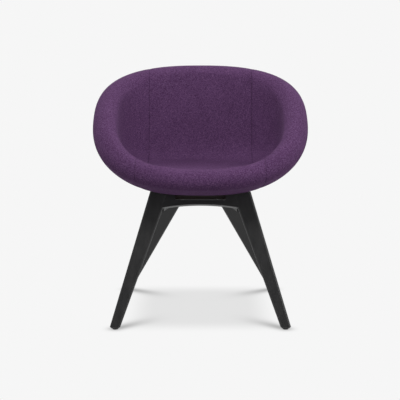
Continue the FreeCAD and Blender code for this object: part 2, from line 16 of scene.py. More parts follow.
import bpy
import numpy as np
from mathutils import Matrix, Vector

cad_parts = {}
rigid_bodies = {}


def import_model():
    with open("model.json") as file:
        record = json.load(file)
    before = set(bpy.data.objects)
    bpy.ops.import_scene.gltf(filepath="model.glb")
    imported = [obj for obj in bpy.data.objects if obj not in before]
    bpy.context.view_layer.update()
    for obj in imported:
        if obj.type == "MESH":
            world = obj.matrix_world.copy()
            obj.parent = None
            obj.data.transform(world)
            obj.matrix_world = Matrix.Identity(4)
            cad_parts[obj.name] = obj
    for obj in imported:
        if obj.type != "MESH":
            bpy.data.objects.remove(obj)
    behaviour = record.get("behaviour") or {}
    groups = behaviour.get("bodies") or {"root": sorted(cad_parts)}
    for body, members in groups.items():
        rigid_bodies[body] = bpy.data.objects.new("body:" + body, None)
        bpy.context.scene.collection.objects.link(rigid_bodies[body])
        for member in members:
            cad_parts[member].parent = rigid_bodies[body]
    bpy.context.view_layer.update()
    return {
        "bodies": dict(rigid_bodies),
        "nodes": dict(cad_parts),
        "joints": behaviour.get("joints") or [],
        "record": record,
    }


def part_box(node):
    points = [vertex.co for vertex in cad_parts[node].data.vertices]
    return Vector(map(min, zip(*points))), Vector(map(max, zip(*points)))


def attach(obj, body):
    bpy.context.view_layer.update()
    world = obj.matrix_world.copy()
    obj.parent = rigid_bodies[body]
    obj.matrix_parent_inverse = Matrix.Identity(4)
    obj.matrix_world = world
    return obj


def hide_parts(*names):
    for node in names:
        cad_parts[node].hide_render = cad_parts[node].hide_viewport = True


logging.basicConfig(level=logging.INFO, format="%(name)s: %(message)s")
log = logging.getLogger("scoop_chair")

Triple = tuple[float, float, float]
Rgb = Triple
Pair = tuple[float, float]
MM = 0.001
WHITE: Rgb = (1.0, 1.0, 1.0)
# Attribute that carries the painted shade in the seams' creases.
SEAM_SHADE = "seam_shade"
LEGS = ("front_left_leg", "front_right_leg", "rear_left_leg", "rear_right_leg")


class Side(Enum):
    """The three sewn panels of the cover."""

    LEFT = -1
    CENTRE = 0
    RIGHT = 1


class Grain(Enum):
    """Way that the grain of a wooden piece runs, as noise stretch along X, Y and Z."""

    UPRIGHT = (1.0, 1.0, 0.06)
    ACROSS = (0.06, 1.0, 1.0)
    LENGTHWISE = (1.0, 0.06, 1.0)


class NodeBench:
    """Workbench for one node-based material with a principled shader."""

    def __init__(self, name: str) -> None:
        """Start an empty material.

        Args:
            name: Name of the material.
        """
        self.material = bpy.data.materials.new(name)
        self.material.use_nodes = True
        self.tree = self.material.node_tree
        self.tree.nodes.clear()
        self.output = self.add("ShaderNodeOutputMaterial")
        self.shader = self.add("ShaderNodeBsdfPrincipled")
        self.join(self.shader.outputs["BSDF"], self.output.inputs["Surface"])
        self.place = self.add("ShaderNodeTexCoord").outputs["Object"]

    def add(self, kind: str, **settings: Any) -> bpy.types.Node:
        """Add a node.

        Args:
            kind: Type name of the node.
            **settings: Properties to set on it.

        Returns:
            The new node.
        """
        node = self.tree.nodes.new(kind)
        for key, value in settings.items():
            setattr(node, key, value)
        return node

    def join(self, source: bpy.types.NodeSocket, target: bpy.types.NodeSocket) -> None:
        """Link an output socket to an input socket."""
        self.tree.links.new(source, target)

    def fix(self, **values: Any) -> None:
        """Set constants on the shader's own sockets; an underscore stands for a space.

        Args:
            **values: Socket names and their values.
        """
        for key, value in values.items():
            self.shader.inputs[key.replace("_", " ")].default_value = value

    def stretched(self, scale: Triple) -> bpy.types.NodeSocket:
        """Object coordinates, stretched.

        Args:
            scale: Factors along X, Y and Z.

        Returns:
            Vector socket.
        """
        node = self.add("ShaderNodeMapping")
        node.inputs["Scale"].default_value = scale
        self.join(self.place, node.inputs["Vector"])
        return node.outputs["Vector"]

    def noise(self, scale: float, detail: float = 3.0, rough: float = 0.55,
              vector: bpy.types.NodeSocket | None = None) -> bpy.types.NodeSocket:
        """Noise pattern.

        Args:
            scale: Cells per metre.
            detail: Octaves of finer noise.
            rough: Weight of the finer octaves.
            vector: Coordinates; plain object coordinates without it.

        Returns:
            Factor socket.
        """
        node = self.add("ShaderNodeTexNoise")
        node.inputs["Scale"].default_value = scale
        node.inputs["Detail"].default_value = detail
        node.inputs["Roughness"].default_value = rough
        self.join(vector or self.place, node.inputs["Vector"])
        return node.outputs["Fac"]

    def ramp(self, factor: bpy.types.NodeSocket,
             stops: Iterable[tuple[float, Rgb]]) -> bpy.types.NodeSocket:
        """Colours along a factor.

        Args:
            factor: Socket that drives the ramp.
            stops: Positions and colours, in rising order.

        Returns:
            Colour socket.
        """
        node = self.add("ShaderNodeValToRGB")
        elements = node.color_ramp.elements
        stops = list(stops)
        while len(elements) < len(stops):
            elements.new(0.5)
        for element, (position, colour) in zip(elements, stops):
            element.position = position
            element.color = (*colour, 1.0)
        self.join(factor, node.inputs["Fac"])
        return node.outputs["Color"]

    def spread(self, factor: bpy.types.NodeSocket, low: float, high: float,
               held: Pair = (0.3, 0.7), curve: str = "LINEAR") -> bpy.types.NodeSocket:
        """Map a factor to a range.

        Args:
            factor: Socket that holds the factor.
            low: Value at the lower end of what it holds.
            high: Value at the upper end.
            held: What the factor holds; noise lies mostly from 0.3 to 0.7.
            curve: How the value runs between the ends.

        Returns:
            Value socket.
        """
        node = self.add("ShaderNodeMapRange", interpolation_type=curve)
        node.inputs["From Min"].default_value, node.inputs["From Max"].default_value = held
        node.inputs["To Min"].default_value = low
        node.inputs["To Max"].default_value = high
        self.join(factor, node.inputs["Value"])
        return node.outputs["Result"]

    def maths(self, operation: str, first: bpy.types.NodeSocket | float,
              second: bpy.types.NodeSocket | float = 0.0) -> bpy.types.NodeSocket:
        """Work out a value from one or two others.

        Args:
            operation: Name of the operation.
            first: First term, a socket or a plain number.
            second: Second term, where the operation has one.

        Returns:
            Value socket.
        """
        node = self.add("ShaderNodeMath", operation=operation)
        for term, socket in zip((first, second), node.inputs):
            if isinstance(term, float):
                socket.default_value = term
            else:
                self.join(term, socket)
        return node.outputs["Value"]

    def axes(self, vector: bpy.types.NodeSocket) -> bpy.types.NodeOutputs:
        """Take a vector apart.

        Args:
            vector: Vector socket.

        Returns:
            Value sockets X, Y and Z.
        """
        node = self.add("ShaderNodeSeparateXYZ")
        self.join(vector, node.inputs["Vector"])
        return node.outputs

    def blend(self, kind: str, share: bpy.types.NodeSocket | float, first: bpy.types.NodeSocket,
              second: bpy.types.NodeSocket | Rgb) -> bpy.types.NodeSocket:
        """Mix two colours.

        Args:
            kind: Blend type.
            share: How much of the second colour shows.
            first: Colour socket below.
            second: Colour socket or plain colour above.

        Returns:
            Colour socket.
        """
        node = self.add("ShaderNodeMix", data_type="RGBA", blend_type=kind)
        sockets = {socket.identifier: socket for socket in node.inputs}
        if isinstance(share, float):
            sockets["Factor_Float"].default_value = share
        else:
            self.join(share, sockets["Factor_Float"])
        self.join(first, sockets["A_Color"])
        if isinstance(second, tuple):
            sockets["B_Color"].default_value = (*second, 1.0)
        else:
            self.join(second, sockets["B_Color"])
        outputs = {socket.identifier: socket for socket in node.outputs}
        return outputs["Result_Color"]

    def colour(self, socket: bpy.types.NodeSocket) -> None:
        """Feed the shader's base colour."""
        self.join(socket, self.shader.inputs["Base Color"])

    def roughness(self, socket: bpy.types.NodeSocket) -> None:
        """Feed the shader's roughness."""
        self.join(socket, self.shader.inputs["Roughness"])

    def bump(self, layers: Iterable[tuple[bpy.types.NodeSocket, float, float]]) -> None:
        """Stack bump layers on the shader's normal.

        Args:
            layers: Height sockets with strength and depth in metres, coarse ones first.
        """
        below = None
        for height, strength, depth in layers:
            node = self.add("ShaderNodeBump")
            node.inputs["Strength"].default_value = strength
            node.inputs["Distance"].default_value = depth
            self.join(height, node.inputs["Height"])
            if below:
                self.join(below, node.inputs["Normal"])
            below = node.outputs["Normal"]
        self.join(below, self.shader.inputs["Normal"])


@dataclass(frozen=True)
class Finish:
    """Finish of a piece: scales are noise cells per metre, a relief is a bump's strength and depth."""

    def make(self, name: str) -> bpy.types.Material:
        """Build the material.

        Args:
            name: Name of the material.

        Returns:
            The finished material.
        """
        bench = NodeBench(name)
        self.lay(bench)
        return bench.material

    def lay(self, bench: NodeBench) -> None:
        """Set up the nodes; each finish has its own way.

        Args:
            bench: Workbench of the material.
        """
        raise NotImplementedError


@dataclass(frozen=True)
class WoolFelt(Finish):
    """Fulled wool cloth in mixed purple fibres, with a soft nap and painted shade along the seams."""

    dark: Rgb = (0.046, 0.018, 0.055)
    body: Rgb = (0.111, 0.048, 0.130)
    light: Rgb = (0.232, 0.121, 0.268)
    # Colour of the painted shade in the seams' creases.
    seam_shade: Rgb = (0.030, 0.012, 0.037)
    sheen: Rgb = (0.62, 0.36, 0.70)
    shaded: Rgb = (0.90, 0.89, 0.90)
    fleck_scale: float = 320.0
    fibre_scale: float = 1500.0
    cloud_scale: float = 14.0
    fibre_run: Triple = (1.0, 0.7, 0.35)
    fibre_share: float = 0.35
    rough: Pair = (0.86, 0.97)
    cloud_relief: Pair = (0.12, 3.0 * MM)
    fleck_relief: Pair = (0.35, 0.8 * MM)
    fibre_relief: Pair = (0.3, 0.4 * MM)

    def lay(self, bench: NodeBench) -> None:
        """Mix flecks and fibres, let the tone drift and paint shade into the seams' creases.

        Args:
            bench: Workbench of the material.
        """
        fleck = bench.noise(self.fleck_scale, detail=4.0, rough=0.66)
        fibre = bench.noise(self.fibre_scale, detail=2.0, rough=0.6,
                            vector=bench.stretched(self.fibre_run))
        cloud = bench.noise(self.cloud_scale, detail=2.0, rough=0.5)
        mixed = bench.ramp(fleck, [(0.34, self.dark), (0.50, self.body), (0.68, self.light)])
        thread = bench.ramp(fibre, [(0.36, self.dark), (0.52, self.body), (0.68, self.light)])
        cloth = bench.blend("MIX", self.fibre_share, mixed, thread)
        drift = bench.ramp(cloud, [(0.3, self.shaded), (0.7, WHITE)])
        cloth = bench.blend("MULTIPLY", 1.0, cloth, drift)
        # Painted shade: the cloth's colour is darkened in the seams' creases, as far as the sewn
        # attribute says.
        seam = bench.add("ShaderNodeAttribute", attribute_name=SEAM_SHADE)
        bench.colour(bench.blend("MIX", seam.outputs["Fac"], cloth, self.seam_shade))
        bench.roughness(bench.spread(fleck, *self.rough))
        bench.fix(Sheen_Weight=0.10, Sheen_Roughness=0.4, Sheen_Tint=(*self.sheen, 1.0),
                  Specular_IOR_Level=0.08)
        bench.bump([(cloud, *self.cloud_relief), (fleck, *self.fleck_relief),
                    (fibre, *self.fibre_relief)])


@dataclass(frozen=True)
class BlackStain(Finish):
    """Black-stained hardwood under a satin lacquer."""

    grain: Grain = Grain.UPRIGHT
    deep: Rgb = (0.0115, 0.0115, 0.0120)
    pore: Rgb = (0.0225, 0.0220, 0.0227)
    figure_scale: float = 55.0
    pore_scale: float = 420.0
    pore_share: float = 0.35
    rough: Pair = (0.42, 0.53)
    figure_relief: Pair = (0.10, 0.6 * MM)
    pore_relief: Pair = (0.14, 0.3 * MM)

    def lay(self, bench: NodeBench) -> None:
        """Let figure and pores show through the stain, along the grain.

        Args:
            bench: Workbench of the material.
        """
        along = bench.stretched(self.grain.value)
        figure = bench.noise(self.figure_scale, detail=5.0, rough=0.6, vector=along)
        pores = bench.noise(self.pore_scale, detail=3.0, rough=0.6, vector=along)
        veins = bench.ramp(figure, [(0.32, self.deep), (0.68, self.pore)])
        fine = bench.ramp(pores, [(0.40, self.deep), (0.62, self.pore)])
        bench.colour(bench.blend("MIX", self.pore_share, veins, fine))
        bench.roughness(bench.spread(figure, *self.rough))
        bench.fix(Specular_IOR_Level=0.50)
        bench.bump([(figure, *self.figure_relief), (pores, *self.pore_relief)])


@dataclass(frozen=True)
class Plywood(Finish):
    """Dark-stained plywood, with its veneers seen as layers on the edge."""

    pale: Rgb = (0.058, 0.040, 0.032)
    brown: Rgb = (0.022, 0.014, 0.012)
    layer: float = 2.8 * MM
    layer_wander: float = 0.35
    streak_scale: float = 120.0
    streak_run: Triple = (0.08, 1.0, 1.0)
    streak_share: float = 0.45
    rough: Pair = (0.55, 0.75)
    relief: Pair = (0.2, 0.4 * MM)

    def lay(self, bench: NodeBench) -> None:
        """Stack light and dark layers and streak them.

        Args:
            bench: Workbench of the material.
        """
        wave = bench.add("ShaderNodeTexWave", bands_direction="Z", wave_profile="SIN")
        # The wave texture turns by 20 radians a metre at scale 1, and a layer is half a turn.
        wave.inputs["Scale"].default_value = math.pi / (20 * self.layer)
        wave.inputs["Distortion"].default_value = self.layer_wander
        bench.join(bench.place, wave.inputs["Vector"])
        streak = bench.noise(self.streak_scale, detail=4.0, rough=0.6,
                             vector=bench.stretched(self.streak_run))
        layers = bench.ramp(wave.outputs["Fac"], [(0.2, self.brown), (0.8, self.pale)])
        veneer = bench.ramp(streak, [(0.3, self.brown), (0.65, self.pale)])
        bench.colour(bench.blend("MIX", self.streak_share, layers, veneer))
        bench.roughness(bench.spread(streak, *self.rough))
        bench.bump([(streak, *self.relief)])


@dataclass(frozen=True)
class Dowelling(Finish):
    """Plain beech rod."""

    pale: Rgb = (0.52, 0.36, 0.22)
    brown: Rgb = (0.40, 0.25, 0.14)
    streak_scale: float = 260.0
    streak_run: Triple = (0.1, 1.0, 1.0)
    rough: Pair = (0.5, 0.7)
    relief: Pair = (0.25, 0.3 * MM)

    def lay(self, bench: NodeBench) -> None:
        """Streak the wood along the rod.

        Args:
            bench: Workbench of the material.
        """
        streak = bench.noise(self.streak_scale, detail=4.0, rough=0.6,
                             vector=bench.stretched(self.streak_run))
        bench.colour(bench.ramp(streak, [(0.35, self.brown), (0.65, self.pale)]))
        bench.roughness(bench.spread(streak, *self.rough))
        bench.bump([(streak, *self.relief)])


@dataclass(frozen=True)
class ZincPlate(Finish):
    """Zinc-plated steel with fine streaks."""

    dark: Rgb = (0.46, 0.47, 0.50)
    light: Rgb = (0.62, 0.63, 0.65)
    patch_scale: float = 180.0
    streak_scale: float = 900.0
    streak_run: Triple = (1.0, 1.0, 0.1)
    rough: Pair = (0.25, 0.42)
    relief: Pair = (0.15, 0.2 * MM)

    def lay(self, bench: NodeBench) -> None:
        """Cloud the plating and streak its gloss.

        Args:
            bench: Workbench of the material.
        """
        patch = bench.noise(self.patch_scale, detail=4.0, rough=0.6)
        streak = bench.noise(self.streak_scale, detail=2.0, rough=0.5,
                             vector=bench.stretched(self.streak_run))
        bench.colour(bench.ramp(patch, [(0.3, self.dark), (0.7, self.light)]))
        bench.roughness(bench.spread(streak, *self.rough))
        bench.fix(Metallic=1.0)
        bench.bump([(streak, *self.relief)])


@dataclass(frozen=True)
class SatinPaint(Finish):
    """Black satin paint on steel, with a faint orange peel."""

    dark: Rgb = (0.009, 0.009, 0.010)
    light: Rgb = (0.014, 0.014, 0.015)
    cloud_scale: float = 60.0
    peel_scale: float = 500.0
    rough: Pair = (0.34, 0.48)
    relief: Pair = (0.12, 0.3 * MM)

    def lay(self, bench: NodeBench) -> None:
        """Vary the gloss and raise the orange peel.

        Args:
            bench: Workbench of the material.
        """
        cloud = bench.noise(self.cloud_scale, detail=3.0, rough=0.5)
        peel = bench.noise(self.peel_scale, detail=2.0, rough=0.5)
        bench.colour(bench.ramp(cloud, [(0.3, self.dark), (0.7, self.light)]))
        bench.roughness(bench.spread(cloud, *self.rough))
        bench.bump([(peel, *self.relief)])


@dataclass(frozen=True)
class MouldedPlastic(Finish):
    """Dark moulded plastic with a fine spark-eroded grain."""

    dark: Rgb = (0.012, 0.012, 0.013)
    light: Rgb = (0.024, 0.024, 0.025)
    grain_scale: float = 1600.0
    scuff_scale: float = 90.0
    rough: Pair = (0.42, 0.6)
    relief: Pair = (0.3, 0.2 * MM)

    def lay(self, bench: NodeBench) -> None:
        """Scuff the colour and raise the grain.

        Args:
            bench: Workbench of the material.
        """
        grain = bench.noise(self.grain_scale, detail=3.0, rough=0.6)
        scuff = bench.noise(self.scuff_scale, detail=4.0, rough=0.65)
        bench.colour(bench.ramp(scuff, [(0.35, self.dark), (0.7, self.light)]))
        bench.roughness(bench.spread(scuff, *self.rough))
        bench.bump([(grain, *self.relief)])


@dataclass(frozen=True)
class LiningCloth(Finish):
    """Thin black spun-bonded lining with pressed points."""

    dark: Rgb = (0.010, 0.010, 0.011)
    light: Rgb = (0.030, 0.030, 0.032)
    point_scale: float = 600.0
    point_scatter: float = 0.25
    web_scale: float = 700.0
    rough: Pair = (0.75, 0.9)
    point_relief: Pair = (0.35, 0.4 * MM)
    web_relief: Pair = (0.3, 0.3 * MM)

    def lay(self, bench: NodeBench) -> None:
        """Press points into a web of fibres.

        Args:
            bench: Workbench of the material.
        """
        points = bench.add("ShaderNodeTexVoronoi", feature="F1")
        points.inputs["Scale"].default_value = self.point_scale
        points.inputs["Randomness"].default_value = self.point_scatter
        bench.join(bench.place, points.inputs["Vector"])
        web = bench.noise(self.web_scale, detail=4.0, rough=0.7)
        bench.colour(bench.ramp(web, [(0.35, self.dark), (0.7, self.light)]))
        bench.roughness(bench.spread(web, *self.rough))
        bench.bump([(points.outputs["Distance"], *self.point_relief), (web, *self.web_relief)])


def deselect() -> None:
    """Leave edit mode and select nothing."""
    if bpy.context.mode != "OBJECT":
        bpy.ops.object.mode_set(mode="OBJECT")
    bpy.ops.object.select_all(action="DESELECT")


def work_on(piece: bpy.types.Object) -> None:
    """Select one object alone and make it active.

    Args:
        piece: The object.
    """
    deselect()
    piece.select_set(True)
    bpy.context.view_layer.objects.active = piece


def points_of(piece: bpy.types.Object) -> np.ndarray:
    """Vertex places of a mesh.

    Args:
        piece: Mesh object.

    Returns:
        Array of rows x, y, z in metres.
    """
    flat = np.empty(3 * len(piece.data.vertices))
    piece.data.vertices.foreach_get("co", flat)
    return flat.reshape(-1, 3)


def normals_of(piece: bpy.types.Object) -> np.ndarray:
    """Vertex normals of a mesh.

    Args:
        piece: Mesh object.

    Returns:
        Array of unit rows.
    """
    flat = np.empty(3 * len(piece.data.vertices))
    piece.data.vertices.foreach_get("normal", flat)
    return flat.reshape(-1, 3)


def put_points(piece: bpy.types.Object, points: np.ndarray) -> None:
    """Write vertex places back to a mesh."""
    piece.data.vertices.foreach_set("co", points.ravel())
    piece.data.update()


def apply_modifier(piece: bpy.types.Object, name: str) -> None:
    """Apply one modifier of a piece."""
    work_on(piece)
    bpy.ops.object.modifier_apply(modifier=name)


def dress(piece: bpy.types.Object, finish: bpy.types.Material) -> None:
    """Give a piece one finish all over.

    Args:
        piece: Mesh object.
        finish: Material for all its slots.
    """
    if not piece.material_slots:
        piece.data.materials.append(finish)
    for slot in piece.material_slots:
        slot.material = finish


def conic(start: Pair, corner: Pair, end: Pair, weight: float, t: float) -> Pair:
    """Point of a conic arc that leaves start and reaches end along the lines to corner.

    Args:
        start: First point.
        corner: Meeting point of the two end tangents.
        end: Last point.
        weight: Pull of the corner.
        t: Share of the way, from 0 to 1.

    Returns:
        Point as (outward, height).
    """
    a = (1 - t) ** 2
    b = 2 * weight * t * (1 - t)
    c = t ** 2
    total = a + b + c
    return ((a * start[0] + b * corner[0] + c * end[0]) / total,
            (a * start[1] + b * corner[1] + c * end[1]) / total)


def wall(start: Pair, end: Pair, lean: float, weight: float, t: float) -> Pair:
    """Conic arc from a level start up to an end that leans.

    Args:
        start: Level start.
        end: Leaning end.
        lean: Angle of the end from the level, in radians.
        weight: Pull of the corner.
        t: Share of the way, from 0 to 1.

    Returns:
        Point as (outward, height).
    """
    run = (end[1] - start[1]) / math.tan(lean)
    return conic(start, (end[0] - run, start[1]), end, weight, t)


@dataclass
class HalfOutline:
    """Outline of the tub in one direction, in metres: seat, inner wall, roll and outer wall."""

    seat_flat: float
    base_flat: float
    rim: Pair
    roll: float
    lean: float
    fullness: float
    seat_level: float
    base_level: float
    inner_fullness: float

    def on_roll(self, turn: float) -> Pair:
        """Point of the padded roll.

        Args:
            turn: Angle from 0 on the inside to 180 on the outside, in degrees.

        Returns:
            Point as (outward, height).
        """
        angle = self.lean + math.radians(90 - turn)
        return (self.rim[0] + self.roll * math.cos(angle),
                self.rim[1] + self.roll * math.sin(angle))

    def inside(self, t: float) -> Pair:
        """Point of the inner wall, from the seat at 0 to the roll at 1."""
        start = (self.seat_flat, self.seat_level)
        return wall(start, self.on_roll(0), self.lean, self.inner_fullness, t)

    def outside(self, t: float) -> Pair:
        """Point of the outer wall, from the underside at 0 to the roll at 1."""
        start = (self.base_flat, self.base_level)
        return wall(start, self.on_roll(180), self.lean, self.fullness, t)


@dataclass
class TubForm:
    """Smooth form of the tub between its front, arm and back outlines, in metres.

    Values in threes are for the front, the arms and the back. The rings of the underside are shares
    of its flat part and of the lining's recess.
    """

    width: float = 0.644
    depth: float = 0.530
    height: float = 0.730
    front_height: float = 0.459
    seat_level: float = 0.438
    base_level: float = 0.368
    rolls: Triple = (0.031, 0.037, 0.034)
    leans: Triple = (19.0, 88.0, 84.0)
    fullness: Triple = (0.82, 0.48, 0.81)
    seat_flats: Triple = (0.080, 0.100, 0.110)
    base_flats: Triple = (0.127, 0.117, 0.107)
    inner_fullness: float = 2.0
    arm_rise: float = 0.015
    ovals: Pair = (2.53, 2.43)
    seat_rings: int = 8
    wall_rings: int = 42
    roll_rings: int = 16
    underside: tuple[Pair, ...] = ((0.985, 0.0), (0.97, 0.0), (0.96, 1.0), (0.94, 1.0),
                                   (0.8, 1.0), (0.6, 1.0), (0.4, 1.0), (0.2, 1.0))
    outlines: tuple[HalfOutline, ...] = field(init=False)

    def __post_init__(self) -> None:
        """Work out the three outlines."""
        front_rim = (self.depth / 2 - self.rolls[0], self.front_height - self.rolls[0])
        back_rim = (self.depth / 2 - self.rolls[2], self.height - self.rolls[2])
        arm_rim = (self.width / 2 - self.rolls[1],
                   (front_rim[1] + back_rim[1]) / 2 + self.arm_rise)
        self.outlines = tuple(
            HalfOutline(self.seat_flats[side], self.base_flats[side], rim, self.rolls[side],
                        math.radians(self.leans[side]), self.fullness[side], self.seat_level,
                        self.base_level, self.inner_fullness)
            for side, rim in enumerate((front_rim, arm_rim, back_rim)))

    @property
    def bowl_rings(self) -> int:
        """Number of rings from the seat's middle up to the roll."""
        return self.seat_rings + self.wall_rings + 1

    def ring_point(self, front: Pair, arm: Pair, back: Pair, angle: float) -> Triple:
        """Point of the oval ring through a front, an arm and a back point.

        Args:
            front: Point of the front outline.
            arm: Point of the arm outline.
            back: Point of the back outline.
            angle: Angle in plan, in radians.

        Returns:
            Place x, y, z.
        """
        cosine, sine = math.cos(angle), math.sin(angle)
        power = self.ovals[1] if sine > 0 else self.ovals[0]
        reach = (abs(cosine) ** power + abs(sine) ** power) ** (-1 / power)
        across, along = reach * cosine, reach * sine
        middle = (front[1] + back[1]) / 2
        lift = (arm[1] - middle) * (1 - along ** 2)
        return (arm[0] * across,
                (back[0] - front[0]) / 2 + along * (back[0] + front[0]) / 2,
                middle + along * (back[1] - front[1]) / 2 + lift)

    def rows(self, recess: float) -> list[tuple[Pair, Pair, Pair]]:
        """Rings of outline points from the seat's middle over the roll to the underside.

        Args:
            recess: How far the underside is hollowed for the lining.

        Returns:
            One front, arm and back point for each ring.
        """
        seat = [side.inside(0.0) for side in self.outlines]
        base = [side.outside(0.0) for side in self.outlines]
        climb = [ring / self.wall_rings for ring in range(self.wall_rings + 1)]
        found = [[(reach * ring / (self.seat_rings + 1), level) for reach, level in seat]
                 for ring in range(1, self.seat_rings + 1)]
        found += [[side.inside(share) for side in self.outlines] for share in climb]
        found += [[side.on_roll(ring * 180 / self.roll_rings) for side in self.outlines]
                  for ring in range(1, self.roll_rings)]
        found += [[side.outside(1 - share) for side in self.outlines] for share in climb]
        found += [[(reach * share, level + lift * recess) for reach, level in base]
                  for share, lift in self.underside]
        return [tuple(points) for points in found]


@dataclass
class Upholstery:
    """Padded tub in three sewn panels."""

    form: TubForm = field(default_factory=TubForm)
    columns: int = 192
    ease_rings: int = 8
    start_inset: float = 2.0 * MM
    most_swell: float = 0.8 * MM
    pressure: float = 4.0
    cloth_mass: float = 0.3
    cloth_quality: int = 4
    blow_frames: int = 20
    lining_recess: float = 2.2 * MM
    carried: float = 34.0 * MM
    seam_front: float = 0.188
    seam_back: float = 0.160
    seam_bend: float = 0.060
    seam_ease: float = 20.0 * MM
    seam_hold: float = 5.0 * MM
    seam_loops: tuple[float, ...] = (0.5 * MM, 1.1 * MM, 2.4 * MM, 5.0 * MM)
    seam_foot: float = 4.0 * MM
    seam_depth: float = 0.9 * MM
    seam_width: float = 1.0 * MM
    seam_taper: float = 1.3
    pull_depth: float = 0.5 * MM
    pull_width: float = 9.0 * MM
    # How dark the painted shade in the seams' creases gets.
    seam_shade_share: float = 0.5
    smooth_angle: float = 60.0
    give: np.ndarray = field(init=False, repr=False)

    def seam_out(self, along: np.ndarray) -> np.ndarray:
        """Distance of the seams from the middle: straight on the seat, flared at the front.

        Args:
            along: Places along Y.

        Returns:
            Distances along X.
        """
        ahead = self.seam_bend - along
        eased = (ahead + np.sqrt(ahead ** 2 + self.seam_ease ** 2)) / 2
        share = eased / (self.seam_bend + self.form.depth / 2)
        return self.seam_back + share * (self.seam_front - self.seam_back)

    def from_seams(self, points: np.ndarray) -> np.ndarray:
        """Distance of points from the nearer seam.

        Args:
            points: Rows x, y, z.

        Returns:
            Distances, without sign.
        """
        return np.abs(np.abs(points[:, 0]) - self.seam_out(points[:, 1]))

    def straighten(self, tub: bpy.types.Object, back: bool = False) -> None:
        """Stretch a mesh along X until its seams are planes at one metre, or undo that.

        Args:
            tub: Mesh object.
            back: Whether to undo the stretch.
        """
        points = points_of(tub)
        share = self.seam_out(points[:, 1])
        points[:, 0] *= share if back else 1 / share
        put_points(tub, points)

    def slit(self, tub: bpy.types.Object, place: float, keep: int = 0) -> None:
        """Cut a straightened mesh across X.

        Args:
            tub: Mesh object.
            place: Where the cut is, in stretched metres.
            keep: Side that stays, -1 or 1, closed along the cut; 0 keeps both.
        """
        work_on(tub)
        bpy.ops.object.mode_set(mode="EDIT")
        bpy.ops.mesh.select_all(action="SELECT")
        bpy.ops.mesh.bisect(plane_co=(place, 0.0, 0.0), plane_no=(1.0, 0.0, 0.0),
                            use_fill=keep != 0, clear_inner=keep > 0, clear_outer=keep < 0)
        bpy.ops.object.mode_set(mode="OBJECT")

    def padding(self) -> bpy.types.Object:
        """Closed padding, shaped from a ball whose rings follow the tub and set back in the bowl.

        Returns:
            The new mesh object.
        """
        rows = self.form.rows(self.lining_recess)
        deselect()
        bpy.ops.mesh.primitive_uv_sphere_add(segments=self.columns, ring_count=len(rows) + 1,
                                             radius=1.0, location=(0, 0, 0))
        tub = bpy.context.object
        tub.name = "tub_padding"
        ball = points_of(tub)
        belts = np.rint(np.arccos(np.clip(ball[:, 2], -1, 1)) / math.pi * (len(rows) + 1))
        turns = np.arctan2(ball[:, 1], ball[:, 0])
        shaped = np.empty_like(ball)
        for index, (belt, turn) in enumerate(zip(belts.astype(int), turns)):
            row = rows[min(max(belt - 1, 0), len(rows) - 1)]
            place = self.form.ring_point(*row, turn)
            if belt in (0, len(rows) + 1):
                place = (0.0, (row[2][0] - row[0][0]) / 2, place[2])
            shaped[index] = place
        put_points(tub, shaped)
        roll = self.form.bowl_rings
        self.give = np.interp(belts, (roll, roll + self.ease_rings), (1.0, 0.0))[:, None]
        put_points(tub, shaped - normals_of(tub) * self.give * self.start_inset)
        return tub

    def swell(self, tub: bpy.types.Object) -> None:
        """Blow the padding up with a cloth simulation, held at the seams and above the legs.

        The foam underneath keeps the cloth from sinking in, so only outward moves are kept.

        Args:
            tub: The padding.
        """
        start = points_of(tub)
        outward = normals_of(tub)
        held = self.from_seams(start) < self.seam_hold
        held |= start[:, 2] < self.form.base_level + self.carried
        group = tub.vertex_groups.new(name="held")
        group.add([int(index) for index in np.flatnonzero(held)], 1.0, "REPLACE")
        cloth = tub.modifiers.new("swell", "CLOTH")
        cloth.settings.quality = self.cloth_quality
        cloth.settings.mass = self.cloth_mass
        cloth.settings.vertex_group_mass = "held"
        cloth.settings.use_pressure = True
        cloth.settings.uniform_pressure_force = self.pressure
        cloth.settings.effector_weights.gravity = 0.0
        cloth.point_cache.frame_end = self.blow_frames
        scene = bpy.context.scene
        for frame in range(1, self.blow_frames + 1):
            scene.frame_set(frame)
        apply_modifier(tub, "swell")
        scene.frame_set(1)
        rise = np.sum((points_of(tub) - start) * outward, axis=1, keepdims=True)
        most = self.give * self.start_inset + self.most_swell
        put_points(tub, start + outward * most * np.tanh(np.maximum(rise, 0.0) / most))
        tub.vertex_groups.clear()

    def refine(self, tub: bpy.types.Object) -> None:
        """Round the mesh with one subdivision and cut loops beside the seams.

        Args:
            tub: The padding.
        """
        smooth = tub.modifiers.new("smooth", "SUBSURF")
        smooth.levels = smooth.render_levels = 1
        apply_modifier(tub, "smooth")
        self.straighten(tub)
        inward = [-shift for shift in reversed(self.seam_loops)]
        for side in (Side.LEFT, Side.RIGHT):
            for shift in (*inward, 0.0, *self.seam_loops):
                self.slit(tub, side.value * (1 + shift / self.seam_back))
        self.straighten(tub, back=True)

    def sew(self, tub: bpy.types.Object) -> None:
        """Draw the surface in along the seams and note painted shade along them for the cloth's colour.

        Each point keeps its share of the way to the seam, so the seams stay where they are.

        Args:
            tub: The padding with loops beside its seams.
        """
        points = points_of(tub)
        span = self.from_seams(points)
        depth = self.seam_depth * np.exp(-((span / self.seam_width) ** self.seam_taper))
        depth += self.pull_depth * np.exp(-((span / self.pull_width) ** 2))
        depth *= points[:, 2] > self.form.base_level + self.seam_foot
        sewn = points - normals_of(tub) * depth[:, None]
        sewn[:, 0] = points[:, 0] * self.seam_out(sewn[:, 1]) / self.seam_out(points[:, 1])
        put_points(tub, sewn)
        # Painted shade: a share that darkens the cloth's colour in the seams' creases.
        seam_shade = tub.data.attributes.new(SEAM_SHADE, "FLOAT", "POINT")
        shade = self.seam_shade_share * np.exp(-((span / self.seam_width) ** 2))
        seam_shade.data.foreach_set("value", shade)

